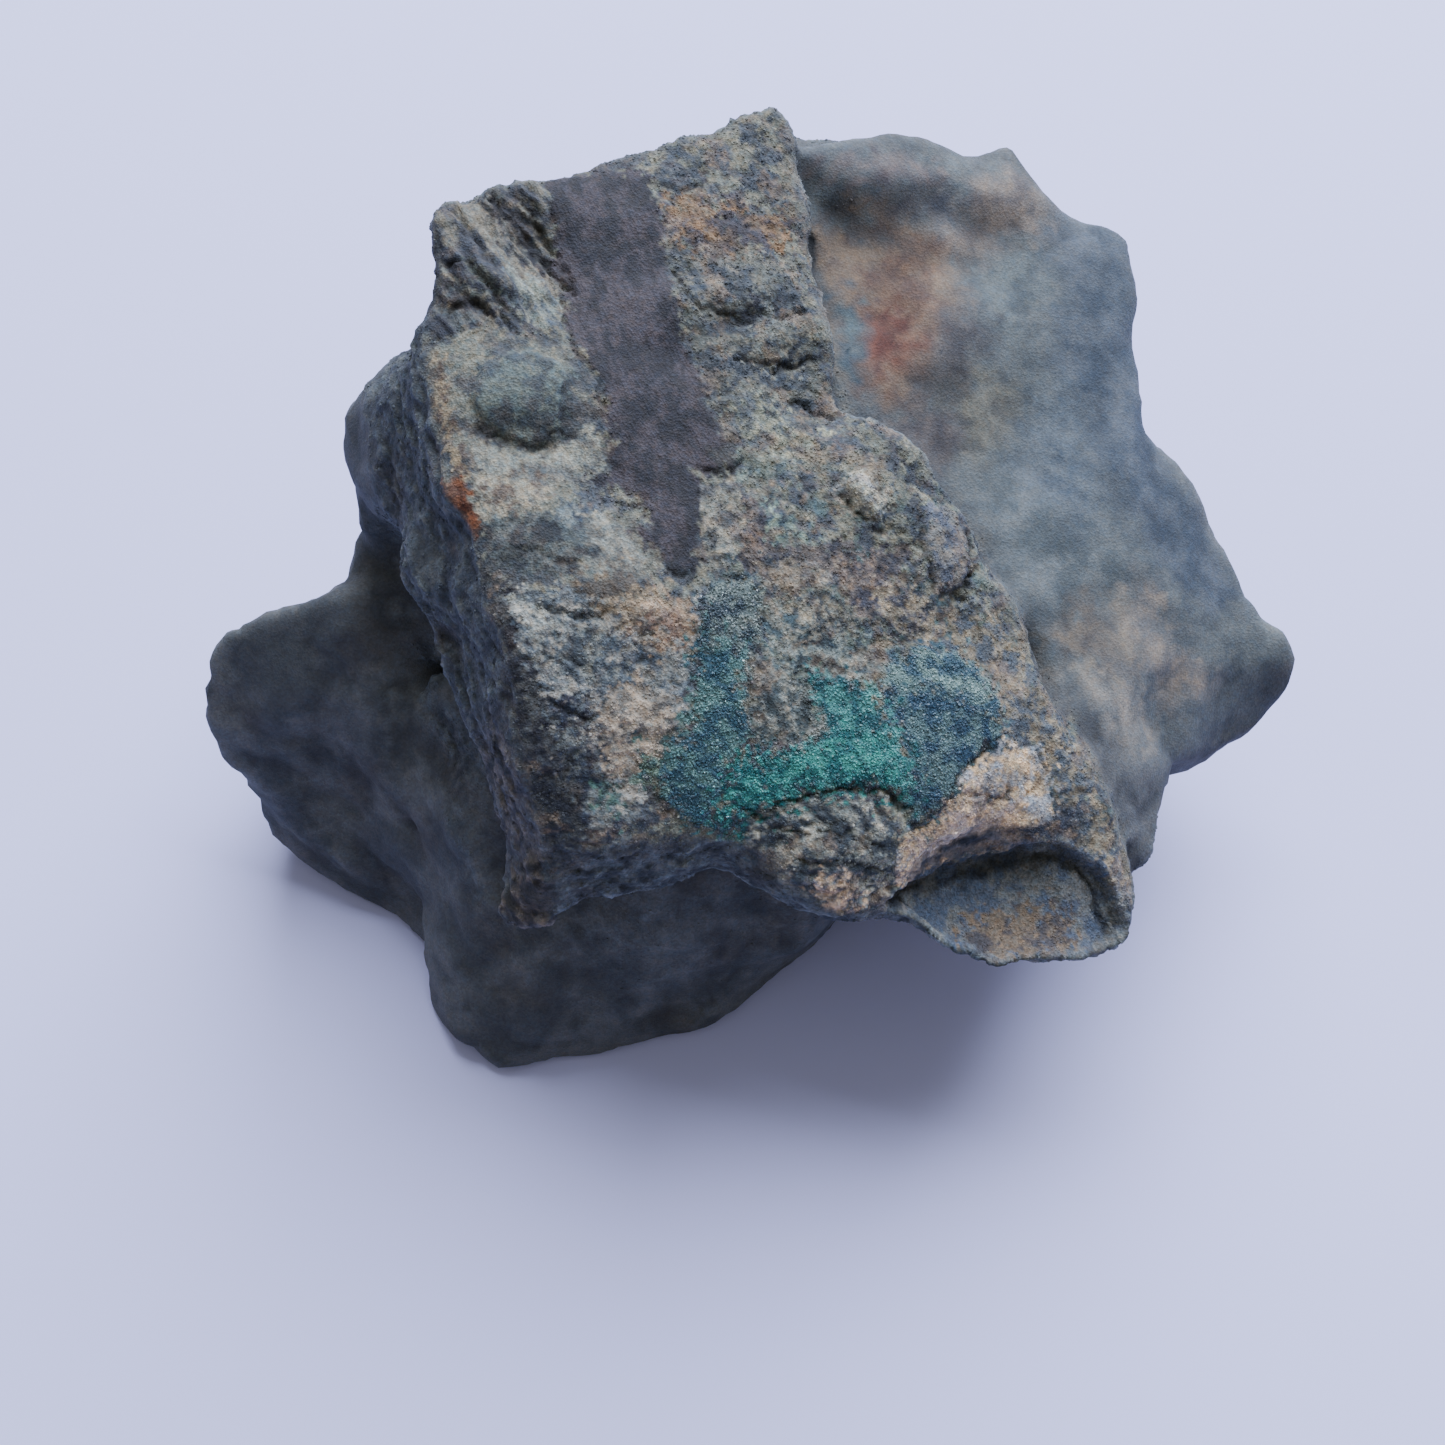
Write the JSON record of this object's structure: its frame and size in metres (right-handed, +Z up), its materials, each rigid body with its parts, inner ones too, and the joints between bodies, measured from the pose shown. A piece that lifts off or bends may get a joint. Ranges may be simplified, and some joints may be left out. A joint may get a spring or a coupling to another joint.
{
  "type": "mineral specimen",
  "caption": "Small chip of dark layered rock with a tilted, crusted top face stained green, tan and plum, overhanging a flat-bottomed foot.",
  "frame": {"origin": "middle of the bounding box in plan, at the level of the flat face the rock stands on", "axes": "+X along the longest side, from the round lobe to the free tip; +Y from the low scooped edge to the high back; +Z up"},
  "size_m": [0.045, 0.0334, 0.0253],
  "materials": {
    "stone": "rough natural stone: grey-tan crust with patches of fine green crystals on the upper face, dark blue-grey layered rock below"
  },
  "bodies": {
    "root": {"paratacamite_rock": "stone"}
  },
  "joints": []
}
